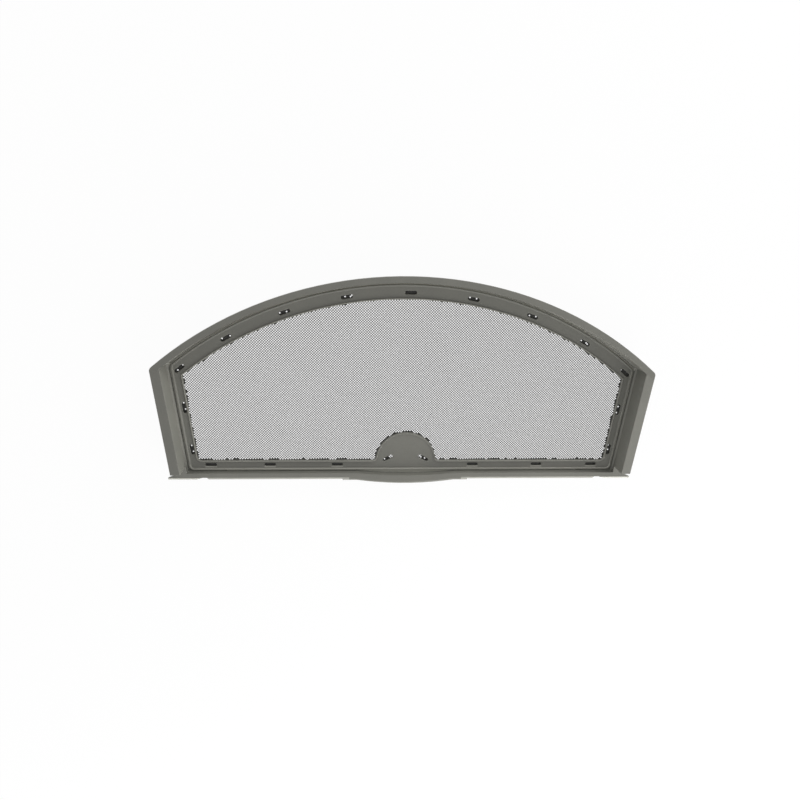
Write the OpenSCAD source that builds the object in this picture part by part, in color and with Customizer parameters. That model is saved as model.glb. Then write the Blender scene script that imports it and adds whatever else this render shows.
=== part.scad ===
// Lint filter of a front-loading dryer: a moulded D-shaped tray with a mesh floor.
// It lies on its back, X across the width, Y towards the arch and Z up.
// The origin is under the middle of the part, on the surface that it lies on.
// In the plan functions, y is measured from the straight edge of the mesh window.

/* [Outline] */
// Width across the two corners of the arch
body_w = 439.6; // [410:1:460]
// Height of the arch above the straight edge of the window
arch_top = 174.9; // [165:0.1:185]
// Radius of the arch
arch_r = 334; // [315:1:360]
// Angle of each side, which widens towards the arch
side_slant = 6.3; // [3:0.1:9]
// Radius of the two corners between the sides and the arch
corner_r = 4.5; // [2:0.5:8]

/* [Walls and rim] */
// Height of the rim above the floor
wall_h = 20.2; // [14:0.1:28]
// Thickness of the walls
wall_t = 2.2; // [1.6:0.1:2.6]
// Taper of the walls over their height
wall_draft = 1.7; // [0.5:0.1:2.5]
// Width of the flat rim along the sides
rim_w_side = 8.3; // [6.5:0.1:10]
// Width of the flat rim along the arch
rim_w_arch = 5.5; // [5:0.1:8]
// Thickness of the rim
rim_t = 2; // [1.4:0.1:3]
// Size of the slope at the foot of the walls
foot_slope = 1.5; // [0.5:0.1:2]
// Where the high side walls end, below the window
wall_end = 5.4; // [3:0.1:8]

/* [Floor] */
// Thickness of the floor over the mesh
floor_t = 2; // [1.4:0.1:3]
// From the outer edge to the window, along the sides
window_in_side = 21.2; // [20.4:0.1:26]
// From the outer edge to the window, along the arch
window_in_arch = 23.4; // [22:0.1:27]
// Radius of the lower corners of the window
window_r = 4; // [2:0.5:8]
// Width of the raised lip round the window
lip_w = 1.2; // [0.8:0.1:1.4]
// Height of the lip
lip_h = 0.6; // [0.3:0.1:1]
// From the wall foot to the bead that runs round the floor
bead_gap = 1.5; // [1:0.1:2]
// Width of the bead
bead_w = 1.5; // [1:0.1:1.8]
// Height of the bead
bead_h = 1; // [0.5:0.1:1.5]
// Radius of the corners of the bead
bead_r = 3; // [2:0.5:5]
// Depth of the groove between the bead and the walls
groove_d = 0.8; // [0.4:0.1:1.2]
// Half the length of the groove along the straight edge
groove_half = 163; // [140:1:175]

/* [Slots] */
// Length of each slot in the floor
slot_l = 10.4; // [7:0.1:12]
// Width of each slot
slot_w = 3.3; // [2:0.1:3.8]
// From the window to the middle of the slots along the arch
slot_in_arch = 6; // [5:0.1:7]
// From the window to the middle of the slots along the sides
slot_in_side = 3.4; // [3.2:0.1:4.2]
// From the window to the middle of the slots along the straight edge
slot_in_base = 4.1; // [3.6:0.1:4.6]
// Turn of the slots in the handle pad
pad_slot_turn = 29; // [0:1:45]
// From the middle of the pad to each of its slots
pad_slot_x = 16.3; // [12:0.1:19]
// Height of the pad slots above the straight edge of the window
pad_slot_y = 2.4; // [0:0.1:6]

/* [Straight edge] */
// From the window to the wall foot of the cap strip
cap_in = 10.4; // [10:0.1:12]
// Width of the cap strip
cap_w = 6.8; // [6:0.1:9]
// Height of the cap strip above the floor
cap_h = 5.6; // [4.5:0.1:8]
// Thickness of the cap strip
cap_t = 2; // [1.4:0.1:2.2]
// Radius of the outer edge of the cap strip
cap_r = 2.6; // [1:0.1:3]
// Length of the cap strip, from foot to foot
cap_l = 429; // [415:1:436]
// Length that has a skirt down to the base
skirt_l = 404; // [390:1:408]
// How much of each foot end is cut back behind the rim
foot_cut = 4.4; // [3:0.1:5]
// Slant of that cut
foot_cut_slant = 2.7; // [1:0.1:4]
// From the middle to each notch in the cap strip
notch_x = 178.1; // [165:0.1:185]
// Length of each notch
notch_l = 12.6; // [10:0.1:15]
// Length of its steep end
notch_steep = 2.2; // [1:0.1:3]
// Length of its flat bottom
notch_flat = 4; // [2:0.1:6]
// Depth of each notch
notch_d = 2.5; // [1:0.1:3.5]

/* [Handle] */
// Length of the handle along the cap strip
grip_l = 116; // [100:1:130]
// How far the handle stands out of the cap strip at its ends
grip_step = 1; // [0.4:0.1:2]
// Length of the bulge in the handle
bulge_l = 90; // [70:1:96]
// How far the bulge stands out
bulge_out = 3.4; // [2:0.1:5]
// How far the inner wall bows out behind it
bulge_in = 2.4; // [1:0.1:3]
// Radius of the half-round pad
pad_r = 27.6; // [22:0.1:32]
// Radius of the fillets beside the pad
pad_fillet = 3; // [1:0.5:5]

/* [Mesh] */
// Thickness of the mesh sheet
mesh_t = 0.8; // [0.5:0.1:1.2]
// How far the sheet reaches under the floor round the window
mesh_lap = 8.6; // [8:0.1:9.2]
// Clearance round the edge of the sheet
mesh_gap = 0.3; // [0.1:0.1:0.5]
// Distance between the rows of gaps
gap_pitch = 22.5; // [22:0.1:28]
// Width of the strands between the gaps
strand_w = 4; // [3:0.1:7]
// Width of the strand round the edge of the window
edge_strand = 1.2; // [0.8:0.1:3]
// Width of the ridges on the strands
ridge_w = 1.4; // [0.8:0.1:2]
// Height of the ridges
ridge_h = 0.4; // [0.2:0.1:0.8]

/* [Hidden] */
// Angles of the slots along the arch, seen from the centre of the arch
arch_slot_angles = [-39, -30, -20, -10, 0, 10, 20, 30, 39];
// Places of the slots along the sides, from the straight edge of the window
side_slot_places = [11, 51];
// Places of the slots along the straight edge, from the middle
base_slot_places = [63, 124, 177];
round_fn = 180;
overlap = 1;
// Small flat left where the arcs of the fillets end
seam = 0.1;
far = 600;
arch_cy = arch_top - arch_r;
corner_y = arch_cy + sqrt(arch_r * arch_r - body_w * body_w / 4);
// Heights above the surface that the part lies on
floor_z = mesh_t + floor_t;
rim_z = floor_z + wall_h;
cap_z = floor_z + cap_h;
// Insets of the wall foot, the bead and the lip from the outer edge: side and arch
foot_in = [rim_w_side + wall_draft + foot_slope, rim_w_arch + wall_draft + foot_slope];
bead_in = [foot_in[0] + bead_gap, foot_in[1] + bead_gap];
window_in = [window_in_side, window_in_arch];
// Lowest edges, below the straight edge of the window
bead_base = cap_in - bead_gap;
cap_out = cap_in + cap_w;
grip_out = cap_out + grip_step;
low_y = -grip_out - bulge_out;
mid_y = (arch_top + low_y) / 2;
grip_w = cap_w + grip_step;
// Radii of the arcs that the handle's outer and inner faces follow
bulge_r = (bulge_l * bulge_l / 4 + bulge_out * bulge_out) / (2 * bulge_out);
bow_r = (bulge_l * bulge_l / 4 + bulge_in * bulge_in) / (2 * bulge_in);
// Steps of the lattice of gaps, and how far outside the window the middle of one may lie
gap_step = gap_pitch / sqrt(2);
gap_over = (gap_pitch - strand_w) / 3;

// Half the width of the outline at a height y, less an inset
function half_w(y, inset) = body_w / 2 - (corner_y - y) * tan(side_slant) - inset / cos(side_slant);
// Height at which a side meets the arch, both taken in by an inset
function meet_b(inset) = tan(side_slant) * half_w(0, inset[0]) - arch_cy;
function meet_a() = 1 + pow(tan(side_slant), 2);
function meet_c(inset) = pow(half_w(0, inset[0]), 2) + pow(arch_cy, 2) - pow(arch_r - inset[1], 2);
function meet_y(inset) =
    (-meet_b(inset) + sqrt(pow(meet_b(inset), 2) - meet_a() * meet_c(inset))) / meet_a();

// A shape and its mirror image across the middle
module both_sides() {
    children();
    mirror([1, 0, 0]) children();
}

// D outline with its sides, arch and straight edge taken in by their own insets
module d_plan(inset, base) {
    intersection() {
        translate([0, arch_cy]) circle(r = arch_r - inset[1], $fn = round_fn);
        polygon([
            [-half_w(-base, inset[0]), -base],
            [half_w(-base, inset[0]), -base],
            [half_w(arch_top, inset[0]), arch_top + overlap],
            [-half_w(arch_top, inset[0]), arch_top + overlap]
        ]);
    }
}

// The same with its lower corners rounded
module d_plan_round(inset, base, r) {
    x = half_w(-base + r, inset[0] + r);
    lean = [cos(side_slant), -sin(side_slant)];
    difference() {
        d_plan(inset, base);
        both_sides() polygon([
            [x, -base + r],
            [x, -base - overlap],
            [x + 3 * r, -base - overlap],
            [x + 3 * r * lean[0], -base + r + 3 * r * lean[1]]
        ]);
    }
    both_sides() translate([x, -base + r]) circle(r = r, $fn = round_fn);
}

// The outer outline, with its arch corners rounded
module rim_plan(base) {
    inner = [corner_r, corner_r];
    y = meet_y(inner);
    x = half_w(y, corner_r);
    a = atan2(x, y - arch_cy);
    reach = 3 * corner_r;
    difference() {
        d_plan([0, 0], base);
        both_sides() polygon([
            [x, y],
            [x + reach * sin(a), y + reach * cos(a)],
            [x + reach * cos(side_slant), y + reach],
            [x + reach * cos(side_slant), y - reach * sin(side_slant)]
        ]);
    }
    both_sides() translate([x, y]) circle(r = corner_r, $fn = round_fn);
}

// Everything inside one side face, whose inset changes evenly from low to high;
// it runs on past both ends, where the block is cut to its height
module side_half(low, high, z, h) {
    past = (high - low) * overlap / h;
    translate([body_w / 2, corner_y, 0]) rotate([90, 0, -side_slant])
        translate([0, 0, -far / 2]) linear_extrude(far) polygon([
            [-far, z - overlap],
            [past - low, z - overlap],
            [-past - high, z + h + overlap],
            [-far, z + h + overlap]
        ]);
}

// Block with a D outline whose insets change evenly from its foot to its top
module d_block(low, high, base, z, h) {
    intersection() {
        translate([0, arch_cy, z])
            cylinder(h = h, r1 = arch_r - low[1], r2 = arch_r - high[1], $fn = round_fn);
        side_half(low[0], high[0], z, h);
        mirror([1, 0, 0]) side_half(low[0], high[0], z, h);
        translate([-far / 2, -base, z]) cube([far, far, h]);
    }
}

// Space inside the steep walls, down to the floor
module tray_space() {
    past = wall_draft * overlap / wall_h;
    d_block(
        [rim_w_side + wall_draft, rim_w_arch + wall_draft],
        [rim_w_side - past, rim_w_arch - past],
        far / 4, floor_z, wall_h + overlap
    );
}

// Slope along the foot of the walls, which starts a seam's width inside the floor's groove
module foot_ring() {
    buried = wall_draft + rim_w_side - overlap;
    low = [foot_in[0] + seam + overlap, foot_in[1] + seam + overlap];
    h = foot_slope + 2 * overlap;
    difference() {
        linear_extrude(floor_z + foot_slope) {
            d_plan([buried, buried + foot_in[1] - foot_in[0]], cap_in + overlap);
        }
        d_block(low, [low[0] - h, low[1] - h], far / 4, floor_z - overlap, h);
        translate([0, 0, -overlap]) linear_extrude(floor_z + overlap + seam) {
            d_plan([foot_in[0] + 2 * seam, foot_in[1] + 2 * seam], far / 4);
        }
    }
}

// Web between the end of each high wall and the foot of the cap strip
module corner_webs() {
    translate([0, 0, cap_z - cap_t]) linear_extrude(cap_t) difference() {
        d_plan([overlap, overlap], cap_in + overlap);
        d_plan([foot_in[0] - overlap, foot_in[1] - overlap], far / 4);
        translate([-far / 2, overlap - wall_end]) square(far);
    }
}

// High walls along the sides and the arch, with the rim round their top; low walls go on
// from their ends to the cap strip
module walls() {
    face = [rim_w_side - wall_t, rim_w_arch - wall_t];
    foot = [face[0] + wall_draft, face[1] + wall_draft];
    difference() {
        union() {
            d_block(foot, face, wall_end, 0, rim_z - rim_t + overlap / 2);
            d_block(foot, foot, cap_in + overlap, 0, cap_z);
            translate([0, 0, rim_z - rim_t]) linear_extrude(rim_t) rim_plan(wall_end);
        }
        tray_space();
        translate([0, 0, -overlap]) linear_extrude(floor_z + 2 * overlap) d_plan(foot_in, far / 4);
    }
    foot_ring();
    corner_webs();
}

// Round-ended hole through the floor
module slot() {
    translate([0, 0, mesh_t - overlap]) linear_extrude(floor_t + lip_h + 2 * overlap) {
        square([slot_l - slot_w, slot_w], center = true);
        for (end = [-1, 1])
            translate([end * (slot_l - slot_w) / 2, 0]) circle(d = slot_w, $fn = round_fn);
    }
}

module slots() {
    for (angle = arch_slot_angles)
        translate([0, arch_cy, 0]) rotate([0, 0, -angle])
            translate([0, arch_r - window_in_arch + slot_in_arch, 0]) slot();
    both_sides() {
        for (y = side_slot_places)
            translate([half_w(y, window_in_side - slot_in_side), y, 0])
                rotate([0, 0, 90 - side_slant]) slot();
        for (x = base_slot_places)
            translate([x, -slot_in_base, 0]) slot();
        translate([pad_slot_x, pad_slot_y, 0]) rotate([0, 0, -pad_slot_turn]) slot();
    }
}

// Half-round pad behind the handle, with its fillets, taken in by an inset
module pad_plan(inset) {
    r = pad_r - inset;
    x = sqrt(pow(pad_r + pad_fillet, 2) - pow(pad_fillet, 2));
    low = 2 * lip_w;
    intersection() {
        circle(r = r, $fn = round_fn);
        translate([-r, -low]) square([2 * r, r + 2 * low]);
    }
    difference() {
        polygon([[-x, -low], [x, -low], [x, pad_fillet], [0, 0], [-x, pad_fillet]]);
        both_sides() translate([x + seam, pad_fillet + seam]) circle(r = pad_fillet + inset, $fn = round_fn);
    }
}

// Window in the floor, taken in by an inset
module window_plan(inset) {
    difference() {
        d_plan_round([window_in[0] + inset, window_in[1] + inset], -inset, window_r);
        pad_plan(-inset);
    }
}

// Raised lip round the window and the pad
module lip_plan() {
    difference() {
        d_plan_round([window_in[0] - lip_w, window_in[1] - lip_w], lip_w, window_r + lip_w);
        window_plan(0);
        pad_plan(lip_w);
    }
}

// Bead that runs round the floor, inside the walls
module bead_plan() {
    difference() {
        d_plan_round(bead_in, bead_base, bead_r + bead_w);
        d_plan_round([bead_in[0] + bead_w, bead_in[1] + bead_w], bead_base - bead_w, bead_r);
    }
}

// The groove follows the walls outside the bead, and stops short of the lower corners
module groove_plan() {
    difference() {
        d_plan(foot_in, grip_out);
        d_plan_round(bead_in, bead_base, bead_r + bead_w);
        both_sides() translate([groove_half, -far / 2]) square([far / 2, far / 2 - bead_base + bead_w]);
    }
}

// Floor with its window, lip, bead, groove and slots, and the seat of the mesh below
module tray_floor() {
    difference() {
        union() {
            linear_extrude(floor_z) {
                d_plan([foot_in[0] - overlap, foot_in[1] - overlap], cap_in + overlap);
            }
            linear_extrude(floor_z + lip_h) lip_plan();
            linear_extrude(floor_z + bead_h) bead_plan();
        }
        translate([0, 0, -overlap]) linear_extrude(floor_z + 2 * overlap) window_plan(0);
        translate([0, 0, floor_z - groove_d]) linear_extrude(groove_d + overlap) groove_plan();
        translate([0, 0, -overlap]) linear_extrude(mesh_t + overlap) sheet_plan(-mesh_gap);
        slots();
    }
}

// Section of the cap strip, outwards and up, with its rounded outer edge
module cap_section(w, low) {
    intersection() {
        union() {
            translate([0, low]) square([w - cap_r, cap_z - low]);
            translate([0, low]) square([w, cap_z - cap_r - low]);
            translate([w - cap_r, cap_z - cap_r]) circle(r = cap_r, $fn = round_fn);
        }
        translate([0, low]) square([w, cap_z - low]);
    }
}

// Section of the hollow under the cap strip
module channel_section(w) {
    translate([cap_t, -overlap]) square([w - 2 * cap_t, cap_z - cap_t + overlap]);
}

// A section carried along the straight edge from x0 to x1
module straight_run(x0, x1) {
    translate([x0, -cap_in, 0]) rotate([90, 0, 90]) linear_extrude(x1 - x0) mirror([1, 0]) children();
}

// A section carried round the bulge of the handle, into the straight strip at both ends
module bulge_run() {
    intersection() {
        translate([0, bulge_r - grip_out - bulge_out, 0])
            rotate_extrude($fn = round_fn) translate([bulge_r - cap_w, 0]) children();
        translate([-bulge_l / 2 - cap_t, -far, -far]) cube([bulge_l + 2 * cap_t, far - cap_in, 2 * far]);
    }
}

// Disc whose edge is the bowed inner face of the handle, grown by a distance
module bow_disc(grow, low) {
    translate([0, bow_r - cap_in - bulge_in, low])
        cylinder(r = bow_r + grow, h = cap_z - low + overlap, $fn = round_fn);
}

// Notch in the outer edge, steep towards the handle and slanted towards the foot
module notch() {
    translate([notch_x, -cap_out, -overlap]) linear_extrude(cap_z + 2 * overlap) polygon([
        [0, -overlap],
        [0, 0],
        [notch_steep, notch_d],
        [notch_steep + notch_flat, notch_d],
        [notch_l, 0],
        [notch_l, -overlap]
    ]);
}

// Slanted cut behind the end of a foot, beyond the edge of the rim
module foot_end() {
    x = half_w(-cap_in, 0);
    reach = cap_l / 2 + overlap;
    slope = foot_cut_slant / (cap_l / 2 - x);
    translate([0, -cap_in, 0]) linear_extrude(cap_z + overlap) polygon([
        [x, overlap],
        [x, foot_cut_slant - foot_cut],
        [reach, -foot_cut - slope * overlap],
        [reach, overlap]
    ]);
}

// Hollow under the cap strip and the handle, inside their walls
module cap_channel() {
    difference() {
        union() {
            straight_run(cap_t - skirt_l / 2, skirt_l / 2 - cap_t) channel_section(cap_w);
            straight_run(cap_t - grip_l / 2, grip_l / 2 - cap_t) channel_section(grip_w);
            bulge_run() channel_section(cap_w);
        }
        bow_disc(cap_t, -overlap);
    }
}

// Low strip along the straight edge, with the handle, the notches and the two feet
module cap_strip() {
    difference() {
        union() {
            straight_run(-skirt_l / 2, skirt_l / 2) cap_section(cap_w, 0);
            straight_run(-cap_l / 2, cap_l / 2) cap_section(cap_w, cap_z - cap_t);
            straight_run(-grip_l / 2, grip_l / 2) cap_section(grip_w, 0);
            bulge_run() cap_section(cap_w, 0);
        }
        cap_channel();
        bow_disc(0, floor_z - groove_d);
        both_sides() {
            notch();
            foot_end();
        }
    }
}

// The moulded frame is one piece
module frame() {
    color([0.46, 0.46, 0.44]) translate([0, -mid_y, 0]) {
        tray_floor();
        walls();
        cap_strip();
    }
}

// Outline of the mesh sheet, which reaches under the floor past the slots
module sheet_plan(inset) {
    d_plan([window_in[0] - mesh_lap + inset, window_in[1] - mesh_lap + inset], mesh_lap - inset);
}

// Whether enough of a gap centred at x, y lies in the window, clear of the pad
function gap_fits(x, y) =
    y > -gap_over
    && abs(x) < half_w(y, window_in_side - gap_over)
    && norm([x, y - arch_cy]) < arch_r - window_in_arch + gap_over
    && norm([x, y]) > pad_r - gap_over;

// Gaps of the lattice, as squares that stand on a corner in staggered rows, cut off by the
// strand that runs round the edge of the window
module gaps_plan() {
    across = ceil(body_w / 2 / gap_step);
    up = ceil(arch_top / gap_step);
    intersection() {
        window_plan(edge_strand);
        union() {
            for (i = [-across:across])
                for (j = [0:up])
                    if ((i + j) % 2 == 0 && gap_fits(i * gap_step, j * gap_step))
                        translate([i * gap_step, j * gap_step]) rotate(45)
                            square(gap_pitch - strand_w, center = true);
        }
    }
}

// Ridges along the middle of the strands that lean one way
module ridges_plan(turn) {
    count = ceil((body_w + arch_top) / (2 * gap_step));
    for (k = [-count:count])
        translate([(2 * k + 1) * gap_step, 0]) rotate(turn) square([far * 2, ridge_w], center = true);
}

// Mesh sheet under the floor: a lattice of strands with a ridge along each
module screen_mesh() {
    color([0.75, 0.75, 0.74]) translate([0, -mid_y, 0]) {
        linear_extrude(mesh_t) difference() {
            sheet_plan(0);
            gaps_plan();
        }
        linear_extrude(mesh_t + ridge_h) intersection() {
            window_plan(mesh_gap);
            ridges_plan(45);
        }
        linear_extrude(mesh_t + ridge_h / 2) intersection() {
            window_plan(mesh_gap);
            ridges_plan(-45);
        }
    }
}

frame();
screen_mesh();
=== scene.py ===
import math

import bpy
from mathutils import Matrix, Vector


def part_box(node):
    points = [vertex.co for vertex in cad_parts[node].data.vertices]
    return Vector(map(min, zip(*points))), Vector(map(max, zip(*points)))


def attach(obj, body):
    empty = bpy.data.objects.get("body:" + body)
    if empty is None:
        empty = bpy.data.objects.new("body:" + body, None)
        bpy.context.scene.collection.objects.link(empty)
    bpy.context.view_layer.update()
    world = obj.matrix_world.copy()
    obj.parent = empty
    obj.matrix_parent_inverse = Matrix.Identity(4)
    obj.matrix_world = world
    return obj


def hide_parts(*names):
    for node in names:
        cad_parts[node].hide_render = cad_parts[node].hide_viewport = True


MM = 0.001

# Camera, fitted to the photograph's perspective
IMAGE_PX = 800
FOCAL_PX = 760.0
OPTICAL_CENTRE_PX = (421.16, 399.6)
SENSOR_MM = 36.0
CAMERA_PLACE = (-0.05394, 0.21077, 0.64841)
CAMERA_TURN_DEG = (-19.535, -5.107, 2.17)
CLIP_NEAR, CLIP_FAR = 0.01, 50.0

# Studio: each lamp has its place, what it points at, its width, its height and its power in watts
LAMPS = {
    "lamp_front": ((0.0, -0.90, 0.14), (0.0, -0.08, 0.0), 1.4, 0.2, 6.9),
    "lamp_front_right": ((0.60, -0.55, 0.14), (0.15, -0.08, 0.0), 0.5, 0.2, 4.3),
    "lamp_front_mid": ((0.45, -0.75, 0.45), (0.1, -0.08, 0.0), 0.6, 0.3, 2.6),
    "lamp_back_left": ((-0.65, 0.90, 0.30), (0.0, 0.0, 0.0), 0.6, 0.3, 1.9),
    "lamp_back_right": ((0.65, 0.90, 0.30), (0.0, 0.0, 0.0), 0.6, 0.3, 7.3),
}
AMBIENT = 0.43
HORIZON_GLOW = 0.75
HORIZON_TOP = 0.5
FLOOR_SIDE = 12.0
FLOOR_DROP = 0.1 * MM
FLOOR_WHITE = 0.9
FLOOR_SHADOW_SHARE = 0.05

# Screen: threads near 45 degrees, laid inside the outline of the CAD sheet
THREAD_PITCH = 1.65 * MM
THREAD_R = 0.26 * MM
THREAD_WAVE = 0.12 * MM
THREAD_TURN = math.radians(1.3)
THREAD_ROWS = 190
SHEET_T = 0.8 * MM
SHEET_ARCH_R = 319.2 * MM
SHEET_SLANT = math.radians(6.3)
SHEET_MARGIN = 0.1 * MM

# Window and pad of the CAD frame, and the cells of the weave that are choked along their edge
WINDOW_Y = -76.65 * MM
WINDOW_HALF = 188.27 * MM
WINDOW_ARCH_R = 310.6 * MM
PAD_R = 27.6 * MM
PAD_EDGE = 1.0 * MM
CHOKED_DEPTH = 0.45 * MM
CHOKED_SPREAD = 0.8 * MM
CHOKED_WAVES = ((0.31, 0.4), (0.53, 1.9), (0.83, 4.1))

# Rims of the CAD frame, which slope slightly outwards
RIM_HALF = 209.6 * MM
RIM_W = 8.3 * MM
RIM_TOP = 22.6 * MM
RIM_ARCH_R = 328.5 * MM
RIM_ARCH_Y = -235.75 * MM
SIDE_RIM_TILT = 0.2
ARCH_RIM_TILT = 0.3

# Rounding of edges, which is sharper on the arch
EDGE_ROUND = 0.8 * MM
ARCH_ROUND = 0.25 * MM

# Front edge of the strip at both sides of the handle: its rounded band, where a highlight is painted, paler on the
# feet, and how far that leans forwards
STRIP_BAND_Y = (-94.0 * MM, -91.3 * MM)
STRIP_BAND_X = 52.0 * MM
STRIP_BAND_TILT = 0.7
FOOT_X = 184.0 * MM
FOOT_BAND_Y = (-93.0 * MM, -91.9 * MM)
BASE_BEAD_Y = -80.0 * MM
ARCH_BEAD_R = 321.5 * MM

# Heights of the bead and the lip, whose tops get painted highlights, and of the groove, which gets painted light
BEAD_HEIGHTS = (3.2 * MM, 4.0 * MM)
GROOVE_HEIGHTS = (1.8 * MM, 2.7 * MM)
ARCH_GROOVE_R = (323.7 * MM, 325.4 * MM)

# Slots of the CAD frame: angles along the arch, places along the sides and the straight edge
SLOT_HALF = 5.2 * MM
SLOT_HALF_WIDTH = 1.65 * MM
SLOT_EDGE = 1.1 * MM
ARCH_SLOT_R = 316.6 * MM
ARCH_SLOT_DEG = (-39, -30, -20, -10, 0, 10, 20, 30, 39)
SIDE_SLOT_Y = (11 * MM, 51 * MM)
SIDE_SLOT_HALF = 191.69 * MM
BASE_SLOT_X = (63 * MM, 124 * MM, 177 * MM)
BASE_SLOT_Y = -4.1 * MM
PAD_SLOT = (16.3 * MM, 2.4 * MM)
PAD_SLOT_TURN = math.radians(29)
OPEN_BAND = 0.75 * MM
OPEN_STEP = 2.9 * MM


def nodes_of(owner):
    """The emptied node tree of a material or a world, with a function that adds linked nodes."""
    owner.use_nodes = True
    tree = owner.node_tree
    tree.nodes.clear()

    def add(kind, inputs=None, **settings):
        node = tree.nodes.new(kind)
        for name, value in settings.items():
            setattr(node, name, value)
        for name, value in (inputs or {}).items():
            if isinstance(value, bpy.types.NodeSocket):
                tree.links.new(value, node.inputs[name])
            else:
                node.inputs[name].default_value = value
        return node

    return add


def noise(add, place, scale, detail=3.0, roughness=0.5):
    """A noise of the object's own place, from 0 to 1."""
    inputs = {"Vector": place, "Scale": scale, "Detail": detail, "Roughness": roughness}
    return add("ShaderNodeTexNoise", inputs).outputs["Fac"]


def remap(add, value, low, high, new_low, new_high):
    """A value moved from one range to another, held at its ends."""
    inputs = {"Value": value, 1: low, 2: high, 3: new_low, 4: new_high}
    return add("ShaderNodeMapRange", inputs).outputs[0]


def mixed(add, share, first, second):
    """Two colours mixed by a share from 0 to 1."""
    node = add("ShaderNodeMix", data_type="RGBA")
    tree = node.id_data
    for socket, value in ((0, share), (6, first), (7, second)):
        if isinstance(value, bpy.types.NodeSocket):
            tree.links.new(value, node.inputs[socket])
        else:
            node.inputs[socket].default_value = value
    return node.outputs[2]


def grey(red, green, blue):
    return (red, green, blue, 1.0)


def math_node(add, operation, first, second):
    return add("ShaderNodeMath", {0: first, 1: second}, operation=operation).outputs[0]


def between(add, value, low, high):
    return math_node(add, "MULTIPLY", math_node(add, "GREATER_THAN", value, low),
                     math_node(add, "LESS_THAN", value, high))


def from_arch_centre(add, part):
    """The flat direction away from the centre of the arch, and the distance to that centre."""
    up = math_node(add, "SUBTRACT", part["Y"], RIM_ARCH_Y)
    radial = add("ShaderNodeCombineXYZ", {"X": part["X"], "Y": up}).outputs[0]
    return radial, add("ShaderNodeVectorMath", {0: radial}, operation="LENGTH").outputs["Value"]


def sloped_rims(add, place, normal):
    """The normal, tilted outwards on top of the side rims and the arch rim."""
    part = add("ShaderNodeSeparateXYZ", {"Vector": place}).outputs
    rise = math_node(add, "SUBTRACT", part["Y"], WINDOW_Y)
    half = math_node(add, "ADD", math_node(add, "MULTIPLY", rise, math.tan(SHEET_SLANT)), RIM_HALF - RIM_W)
    width = math_node(add, "ABSOLUTE", part["X"], 0.0)
    radial, reach = from_arch_centre(add, part)
    on_top = math_node(add, "GREATER_THAN", part["Z"], RIM_TOP)
    on_arch = math_node(add, "MULTIPLY", on_top, math_node(add, "GREATER_THAN", reach, RIM_ARCH_R))
    on_side = math_node(add, "MULTIPLY", on_top, math_node(add, "GREATER_THAN", width, half))
    on_side = math_node(add, "MULTIPLY", on_side, math_node(add, "LESS_THAN", reach, RIM_ARCH_R))
    way = math_node(add, "MULTIPLY", on_side, math_node(add, "SIGN", part["X"], 0.0))
    outward = add("ShaderNodeCombineXYZ", {"X": math_node(add, "MULTIPLY", way, SIDE_RIM_TILT)}).outputs[0]
    back = add("ShaderNodeVectorMath", {0: radial}, operation="NORMALIZE").outputs["Vector"]
    share = math_node(add, "MULTIPLY", on_arch, ARCH_RIM_TILT)
    back = add("ShaderNodeVectorMath", {0: back, "Scale": share}, operation="SCALE").outputs["Vector"]
    total = add("ShaderNodeVectorMath", {0: normal, 1: outward}, operation="ADD").outputs["Vector"]
    total = add("ShaderNodeVectorMath", {0: total, 1: back}, operation="ADD").outputs["Vector"]
    return add("ShaderNodeVectorMath", {0: total}, operation="NORMALIZE").outputs["Vector"]


def strip_highlight_band(add, part):
    """1 on the rounded front edge of the strip, at both sides of the handle and on the feet, where a highlight is
    painted.
    """
    sideways = math_node(add, "ABSOLUTE", part["X"], 0.0)
    strip = math_node(add, "MULTIPLY", between(add, part["Y"], *STRIP_BAND_Y),
                      between(add, sideways, STRIP_BAND_X, FOOT_X))
    foot = math_node(add, "MULTIPLY", between(add, part["Y"], *FOOT_BAND_Y),
                     math_node(add, "GREATER_THAN", sideways, FOOT_X))
    return math_node(add, "ADD", strip, foot)


def on_pad(add, part):
    """1 over the half-round pad, whose lip gets no painted highlight."""
    rise = math_node(add, "SUBTRACT", part["Y"], WINDOW_Y)
    place = add("ShaderNodeCombineXYZ", {"X": part["X"], "Y": rise}).outputs[0]
    far = add("ShaderNodeVectorMath", {0: place}, operation="LENGTH").outputs["Value"]
    inside = math_node(add, "LESS_THAN", far, PAD_R + PAD_EDGE)
    return math_node(add, "MULTIPLY", inside, math_node(add, "GREATER_THAN", rise, PAD_EDGE))


def slot_edge_highlights(add, part):
    """1 along the front edges of the slots in the straight side, which catch the light, where a highlight is
    painted.
    """
    sideways = math_node(add, "ABSOLUTE", part["X"], 0.0)
    total = 0.0
    for x in BASE_SLOT_X:
        total = math_node(add, "ADD", between(add, sideways, x - SLOT_HALF, x + SLOT_HALF), total)
    front = WINDOW_Y + BASE_SLOT_Y - SLOT_HALF_WIDTH
    return math_node(add, "MULTIPLY", total, between(add, part["Y"], front - SLOT_EDGE, front + SLOT_EDGE / 4))


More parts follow.
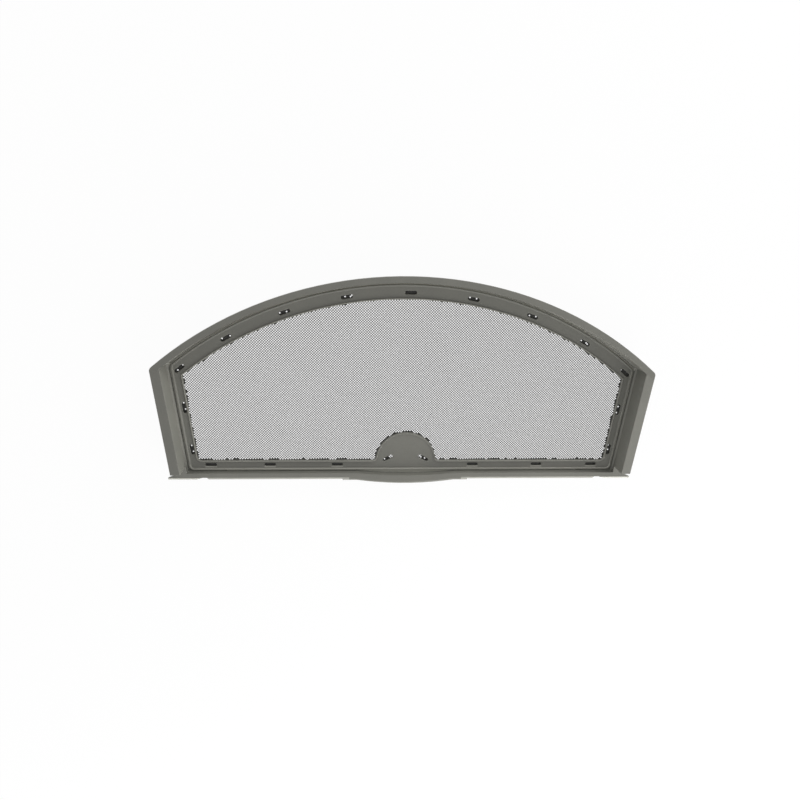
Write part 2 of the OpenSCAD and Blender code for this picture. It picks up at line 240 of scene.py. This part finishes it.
def moulded_plastic():
    """Satin warm grey plastic: faint mottling, a fine moulded grain, and soft edges; highlights are painted on
    edges, beads, lips, slot edges and the strip's front edge, and light in the grooves.
    """
    material = bpy.data.materials.new("moulded_plastic")
    add = nodes_of(material)
    place = add("ShaderNodeTexCoord").outputs["Object"]
    mottle = remap(add, noise(add, place, 45.0, 4.0), 0.3, 0.7, 0.0, 1.0)
    fleck = remap(add, noise(add, place, 900.0, 2.0), 0.35, 0.65, 0.0, 1.0)
    body = mixed(add, mottle, grey(0.148, 0.147, 0.129), grey(0.168, 0.166, 0.145))
    body = mixed(add, remap(add, fleck, 0.0, 1.0, 0.0, 0.35), body, grey(0.185, 0.183, 0.161))
    part = add("ShaderNodeSeparateXYZ", {"Vector": place}).outputs
    height = part["Z"]
    reach = from_arch_centre(add, part)[1]
    radius = remap(add, reach, RIM_ARCH_R - 2 * MM, RIM_ARCH_R - MM, EDGE_ROUND, ARCH_ROUND)
    soft = add("ShaderNodeBevel", {"Radius": radius}, samples=8).outputs["Normal"]
    true = add("ShaderNodeNewGeometry").outputs["Normal"]
    along = add("ShaderNodeVectorMath", {0: soft, 1: true}, operation="DOT_PRODUCT").outputs["Value"]
    # Painted highlight: the plastic is paler where the rounded edges bend the normal.
    edge = remap(add, along, 0.985, 0.86, 0.0, 0.45)
    body = mixed(add, edge, body, grey(0.28, 0.277, 0.245))
    facing = add("ShaderNodeSeparateXYZ", {"Vector": true}).outputs["Z"]
    # Painted highlight on the strip's front edge, paler still on the feet.
    band = math_node(add, "MULTIPLY", strip_highlight_band(add, part), remap(add, facing, 0.15, 0.45, 0.0, 1.0))
    on_foot = math_node(add, "GREATER_THAN", math_node(add, "ABSOLUTE", part["X"], 0.0), FOOT_X)
    body = mixed(add, band, body, mixed(add, on_foot, grey(0.26, 0.257, 0.229), grey(0.45, 0.445, 0.397)))
    upward = math_node(add, "GREATER_THAN", facing, 0.8)
    bead_highlight_mask = between(add, height, *BEAD_HEIGHTS)
    groove_painted_light = math_node(add, "MULTIPLY", between(add, height, *GROOVE_HEIGHTS), upward)
    low = math_node(add, "LESS_THAN", height, BEAD_HEIGHTS[0])
    arch_groove_painted_light = math_node(add, "MULTIPLY", between(add, reach, *ARCH_GROOVE_R), low)
    at_base = math_node(add, "LESS_THAN", part["Y"], BASE_BEAD_Y)
    # Painted highlight on the tops of the bead and the lip: palest along the straight side, darkest on the arch,
    # none on the pad's lip.
    bead = mixed(add, at_base, grey(0.26, 0.257, 0.226), grey(0.38, 0.375, 0.332))
    at_arch = math_node(add, "GREATER_THAN", reach, ARCH_BEAD_R)
    bead = mixed(add, at_arch, bead, grey(0.18, 0.178, 0.157))
    bead_highlight_mask = math_node(add, "MULTIPLY", bead_highlight_mask, math_node(add, "SUBTRACT", 1.0, on_pad(add, part)))
    body = mixed(add, math_node(add, "MULTIPLY", bead_highlight_mask, upward), body, bead)
    # Painted highlight along the front edges of the slots.
    body = mixed(add, slot_edge_highlights(add, part), body, grey(0.3, 0.297, 0.262))
    # Painted light in the groove and at the foot of the arch's wall, paler than the plastic to lift their shade.
    body = mixed(add, groove_painted_light, body, grey(0.5, 0.495, 0.435))
    body = mixed(add, arch_groove_painted_light, body, grey(0.5, 0.495, 0.444))
    shine = remap(add, mottle, 0.0, 1.0, 0.34, 0.42)
    grain = noise(add, place, 2600.0, 2.0)
    ripple = noise(add, place, 120.0, 1.0)
    forwards = add("ShaderNodeCombineXYZ", {"Y": math_node(add, "MULTIPLY", band, -STRIP_BAND_TILT)}).outputs[0]
    leaning = add("ShaderNodeVectorMath", {0: sloped_rims(add, place, soft), 1: forwards}, operation="ADD")
    leaning = add("ShaderNodeVectorMath", {0: leaning.outputs["Vector"]}, operation="NORMALIZE").outputs["Vector"]
    soft_bump = add("ShaderNodeBump", {"Strength": 0.12, "Distance": 0.35 * MM, "Height": ripple, "Normal": leaning})
    fine = add("ShaderNodeBump", {"Strength": 0.22, "Distance": 0.08 * MM, "Height": grain,
                                  "Normal": soft_bump.outputs["Normal"]})
    shader = add("ShaderNodeBsdfPrincipled", {
        "Base Color": body, "Roughness": shine, "Normal": fine.outputs["Normal"],
    })
    shader.inputs["IOR"].default_value = 1.5
    add("ShaderNodeOutputMaterial", {"Surface": shader.outputs["BSDF"]})
    return material


def thread_plastic():
    """Dark grey polymer thread with a slight sheen and uneven shade from thread to thread."""
    material = bpy.data.materials.new("screen_thread")
    add = nodes_of(material)
    place = add("ShaderNodeTexCoord").outputs["Object"]
    shade = remap(add, noise(add, place, 260.0, 3.0), 0.3, 0.7, 0.0, 1.0)
    body = mixed(add, shade, grey(0.035, 0.035, 0.034), grey(0.06, 0.06, 0.058))
    shine = remap(add, shade, 0.0, 1.0, 0.38, 0.5)
    grain = noise(add, place, 5200.0, 1.0)
    bump = add("ShaderNodeBump", {"Strength": 0.2, "Distance": 0.03 * MM, "Height": grain})
    shader = add("ShaderNodeBsdfPrincipled", {
        "Base Color": body, "Roughness": shine, "Normal": bump.outputs["Normal"],
    })
    add("ShaderNodeOutputMaterial", {"Surface": shader.outputs["BSDF"]})
    return material


def flash_plastic_with_shade():
    """Dull dark plastic that filled cells of the weave, uneven from cell to cell, painted darker than the frame's
    plastic as shade in the slots and along the window's edge.
    """
    material = bpy.data.materials.new("screen_flash_and_shade")
    add = nodes_of(material)
    place = add("ShaderNodeTexCoord").outputs["Object"]
    shade = remap(add, noise(add, place, 500.0, 2.0), 0.3, 0.7, 0.0, 1.0)
    # The dark colour is partly painted shade of the slots and the window's edge.
    body = mixed(add, shade, grey(0.03, 0.03, 0.027), grey(0.08, 0.079, 0.072))
    bump = add("ShaderNodeBump", {"Strength": 0.3, "Distance": 0.05 * MM,
                                  "Height": noise(add, place, 2600.0, 1.0)})
    shader = add("ShaderNodeBsdfPrincipled", {"Base Color": body, "Normal": bump.outputs["Normal"]})
    shader.inputs["Roughness"].default_value = 0.6
    add("ShaderNodeOutputMaterial", {"Surface": shader.outputs["BSDF"]})
    return material


def seen_directly(add):
    """1 on rays that show the background: camera, glossy and transmission rays."""
    path = add("ShaderNodeLightPath").outputs
    either = add("ShaderNodeMath", {0: path["Is Camera Ray"], 1: path["Is Glossy Ray"]}, operation="MAXIMUM")
    inputs = {0: either.outputs[0], 1: path["Is Transmission Ray"]}
    return add("ShaderNodeMath", inputs, operation="MAXIMUM").outputs[0]


def make_floor():
    """White floor that looks white to the camera and keeps a share of the filter's shadow."""
    half = FLOOR_SIDE / 2
    mesh = bpy.data.meshes.new("floor")
    corners = [(-half, -half), (half, -half), (half, half), (-half, half)]
    mesh.from_pydata([(x, y, -FLOOR_DROP) for x, y in corners], [], [(0, 1, 2, 3)])
    floor = bpy.data.objects.new("floor", mesh)
    bpy.context.scene.collection.objects.link(floor)
    material = bpy.data.materials.new("white_floor")
    add = nodes_of(material)
    matte = add("ShaderNodeBsdfDiffuse", {"Color": grey(FLOOR_WHITE, FLOOR_WHITE, FLOOR_WHITE)})
    glow = add("ShaderNodeEmission", {"Color": grey(1, 1, 1), "Strength": 1.0})
    share = add("ShaderNodeMath", {0: seen_directly(add), 1: 1 - FLOOR_SHADOW_SHARE}, operation="MULTIPLY")
    both = add("ShaderNodeMixShader", {0: share.outputs[0], 1: matte.outputs[0], 2: glow.outputs[0]})
    add("ShaderNodeOutputMaterial", {"Surface": both.outputs[0]})
    mesh.materials.append(material)


def make_world():
    """White behind the filter, and an even, plain light on it."""
    world = bpy.data.worlds.new("studio")
    bpy.context.scene.world = world
    add = nodes_of(world)
    direction = add("ShaderNodeTexCoord").outputs["Generated"]
    height = add("ShaderNodeSeparateXYZ", {"Vector": direction}).outputs["Z"]
    glow = remap(add, height, 0.0, HORIZON_TOP, AMBIENT + HORIZON_GLOW, AMBIENT)
    plain = add("ShaderNodeBackground", {"Color": grey(1, 1, 1), "Strength": glow})
    white = add("ShaderNodeBackground", {"Color": grey(1, 1, 1), "Strength": 1.0})
    both = add("ShaderNodeMixShader", {0: seen_directly(add), 1: plain.outputs[0], 2: white.outputs[0]})
    add("ShaderNodeOutputWorld", {"Surface": both.outputs[0]})


def make_lamps():
    """Soft white rectangular lamps, which are too low to be mirrored in the plastic without glare."""
    for name, (place, aim, width, height, watts) in LAMPS.items():
        data = bpy.data.lights.new(name, "AREA")
        data.shape = "RECTANGLE"
        data.size = width
        data.size_y = height
        data.energy = watts
        lamp = bpy.data.objects.new(name, data)
        bpy.context.scene.collection.objects.link(lamp)
        lamp.visible_glossy = False
        lamp.location = place
        lamp.rotation_euler = (Vector(aim) - Vector(place)).to_track_quat("-Z", "Y").to_euler()


def make_camera():
    """Camera at the photograph's place, with its focal length and its framing."""
    data = bpy.data.cameras.new("camera")
    data.sensor_width = SENSOR_MM
    data.lens = SENSOR_MM * FOCAL_PX / IMAGE_PX
    data.shift_x = (IMAGE_PX / 2 - OPTICAL_CENTRE_PX[0]) / IMAGE_PX
    data.shift_y = (OPTICAL_CENTRE_PX[1] - IMAGE_PX / 2) / IMAGE_PX
    data.clip_start = CLIP_NEAR
    data.clip_end = CLIP_FAR
    camera = bpy.data.objects.new("camera", data)
    bpy.context.scene.collection.objects.link(camera)
    camera.location = CAMERA_PLACE
    camera.rotation_euler = [math.radians(angle) for angle in CAMERA_TURN_DEG]
    bpy.context.scene.camera = camera


def sheet_outline():
    """The sheet's lowest y, widest corner and arch centre, from the CAD node's box."""
    low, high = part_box("screen_mesh")
    centre_y = high.y - SHEET_ARCH_R
    corner_y = centre_y + math.sqrt(SHEET_ARCH_R ** 2 - high.x ** 2)
    return low.y + SHEET_MARGIN, high.x - SHEET_MARGIN, corner_y, centre_y


def thread_span(start, along):
    """Where a straight thread through start enters and leaves the sheet, as two distances along it."""
    base_y, corner_x, corner_y, centre_y = sheet_outline()
    first, last = -1.0, 1.0
    sides = [((0.0, -1.0), (0.0, base_y))]
    for way in (-1, 1):
        sides.append(((way * math.cos(SHEET_SLANT), -math.sin(SHEET_SLANT)), (way * corner_x, corner_y)))
    for outward, point in sides:
        rate = outward[0] * along[0] + outward[1] * along[1]
        room = outward[0] * (point[0] - start[0]) + outward[1] * (point[1] - start[1])
        if rate > 0:
            last = min(last, room / rate)
        else:
            first = max(first, room / rate)
    middle = along[0] * start[0] + along[1] * (start[1] - centre_y)
    reach = (SHEET_ARCH_R - SHEET_MARGIN) ** 2 - start[0] ** 2 - (start[1] - centre_y) ** 2 + middle ** 2
    if reach <= 0:
        return 0.0, 0.0
    return max(first, -middle - math.sqrt(reach)), min(last, -middle + math.sqrt(reach))


def screen_piece(name, verts, faces, material, smooth):
    """A piece of the screen, which takes the place of the CAD lattice."""
    mesh = bpy.data.meshes.new(name)
    mesh.from_pydata(verts, [], faces)
    mesh.update()
    if smooth:
        mesh.shade_smooth()
    mesh.materials.append(material)
    piece = bpy.data.objects.new(name, mesh)
    bpy.context.scene.collection.objects.link(piece)
    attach(piece, "root")
    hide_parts("screen_mesh")
    print(name, "triangles", sum(len(face) - 2 for face in faces))


def make_threads(name, lean, material):
    """All the threads that lean one way, each a four-sided tube that waves over and under the others."""
    angle = THREAD_TURN + lean * math.pi / 4
    along = (math.cos(angle), math.sin(angle))
    across = (-along[1], along[0])
    ring = ((THREAD_R, 0.0), (0.0, THREAD_R), (-THREAD_R, 0.0), (0.0, -THREAD_R))
    verts, faces = [], []
    for row in range(-THREAD_ROWS, THREAD_ROWS + 1):
        start = (row * THREAD_PITCH * across[0], row * THREAD_PITCH * across[1])
        first, last = thread_span(start, along)
        if last - first < THREAD_PITCH:
            continue
        crossings = range(math.ceil(first / THREAD_PITCH), math.floor(last / THREAD_PITCH) + 1)
        stations = [first] + [c * THREAD_PITCH for c in crossings] + [last]
        waves = [0] + [1 if (c + row) % 2 == 0 else -1 for c in crossings] + [0]
        base = len(verts)
        for distance, wave in zip(stations, waves):
            z = SHEET_T / 2 + lean * wave * THREAD_WAVE
            x = start[0] + distance * along[0]
            y = start[1] + distance * along[1]
            for side, rise in ring:
                verts.append((x + side * across[0], y + side * across[1], z + rise))
        for station in range(len(stations) - 1):
            here = base + 4 * station
            for corner in range(4):
                turn = (corner + 1) % 4
                faces.append((here + corner, here + turn, here + turn + 4, here + corner + 4))
        end = base + 4 * (len(stations) - 1)
        faces.append((base + 3, base + 2, base + 1, base))
        faces.append((end, end + 1, end + 2, end + 3))
    screen_piece(name, verts, faces, material, smooth=True)


def window_depth(x, y, centre_y):
    """How far a point lies inside the window's edge, and a length along that edge."""
    rise = y - WINDOW_Y
    depths = [
        (rise, x),
        ((WINDOW_HALF + math.tan(SHEET_SLANT) * rise - abs(x)) * math.cos(SHEET_SLANT), y),
        (WINDOW_ARCH_R - math.hypot(x, y - centre_y), x),
        (math.hypot(x, rise) - PAD_R, PAD_R * math.atan2(x, rise)),
    ]
    return min(depths)


def slot_places(centre_y):
    """Middle, direction and openness of each slot, where 0 is quite choked."""
    slots = []
    for degrees in ARCH_SLOT_DEG:
        turn = math.radians(degrees)
        middle = (ARCH_SLOT_R * math.sin(turn), centre_y + ARCH_SLOT_R * math.cos(turn))
        slots.append((middle, -turn, 1 if degrees else 0))
    for way in (-1, 1):
        for rise in SIDE_SLOT_Y:
            x = SIDE_SLOT_HALF + math.tan(SHEET_SLANT) * rise
            slots.append(((way * x, WINDOW_Y + rise), way * (math.pi / 2 - SHEET_SLANT), 1))
        for x in BASE_SLOT_X:
            slots.append(((way * x, WINDOW_Y + BASE_SLOT_Y), 0.0, 0))
        slots.append(((way * PAD_SLOT[0], WINDOW_Y + PAD_SLOT[1]), -way * PAD_SLOT_TURN, 1))
    return slots


def choked_in_slot(x, y, slots):
    """Whether a cell lies in a slot, apart from the few that stay open along the slot's middle."""
    for number, (middle, turn, openness) in enumerate(slots):
        along = (x - middle[0]) * math.cos(turn) + (y - middle[1]) * math.sin(turn)
        across = (y - middle[1]) * math.cos(turn) - (x - middle[0]) * math.sin(turn)
        if abs(along) < SLOT_HALF + THREAD_PITCH and abs(across) < SLOT_HALF_WIDTH + THREAD_PITCH:
            shift = (number % 3 - 1) * THREAD_PITCH / 2
            near = abs(abs(along + shift) - OPEN_STEP) < THREAD_PITCH * 0.6 and abs(across) < OPEN_BAND
            return not (openness and near)
    return False


def make_choked_cells(material):
    """Cells of the weave that the moulding filled: along the window's edge and under the slots."""
    centre_y = sheet_outline()[3]
    slots = slot_places(centre_y)
    right = (math.cos(THREAD_TURN + math.pi / 4), math.sin(THREAD_TURN + math.pi / 4))
    half = THREAD_PITCH / 2
    verts, faces = [], []
    for row in range(-THREAD_ROWS, THREAD_ROWS):
        for column in range(-THREAD_ROWS, THREAD_ROWS):
            a, b = (column + 0.5) * THREAD_PITCH, (row + 0.5) * THREAD_PITCH
            x, y = a * right[0] - b * right[1], a * right[1] + b * right[0]
            depth, place = window_depth(x, y, centre_y)
            if depth < -12 * MM or depth > 2 * MM:
                continue
            wave = sum(math.sin(place / MM * rate + start) for rate, start in CHOKED_WAVES)
            edge = -THREAD_PITCH < depth < CHOKED_DEPTH + CHOKED_SPREAD * wave / len(CHOKED_WAVES)
            if not edge and not (depth < -THREAD_PITCH / 2 and choked_in_slot(x, y, slots)):
                continue
            base = len(verts)
            for z in (SHEET_T / 2 - THREAD_WAVE, SHEET_T / 2 + THREAD_WAVE):
                for i, j in ((-1, -1), (1, -1), (1, 1), (-1, 1)):
                    u, v = a + i * half, b + j * half
                    verts.append((u * right[0] - v * right[1], u * right[1] + v * right[0], z))
            faces.append((base + 3, base + 2, base + 1, base))
            faces.append((base + 4, base + 5, base + 6, base + 7))
            for corner in range(4):
                turn = (corner + 1) % 4
                faces.append((base + corner, base + turn, base + turn + 4, base + corner + 4))
    screen_piece("choked_cells", verts, faces, material, smooth=False)


def dress_frame(node):
    """Gives the moulded frame its plastic."""
    material = moulded_plastic()
    node.data.materials.clear()
    node.data.materials.append(material)


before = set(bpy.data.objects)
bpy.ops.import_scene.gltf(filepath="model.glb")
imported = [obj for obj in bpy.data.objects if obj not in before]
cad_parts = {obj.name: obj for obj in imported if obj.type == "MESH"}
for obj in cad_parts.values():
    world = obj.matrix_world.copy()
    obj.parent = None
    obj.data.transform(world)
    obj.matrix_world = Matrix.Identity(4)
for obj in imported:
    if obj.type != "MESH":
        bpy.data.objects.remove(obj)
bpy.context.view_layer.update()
bpy.context.scene.view_settings.view_transform = "Standard"
make_camera()
make_world()
make_lamps()
make_floor()
dress_frame(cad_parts["frame"])
thread = thread_plastic()
make_threads("threads_right", 1, thread)
make_threads("threads_left", -1, thread)
make_choked_cells(flash_plastic_with_shade())
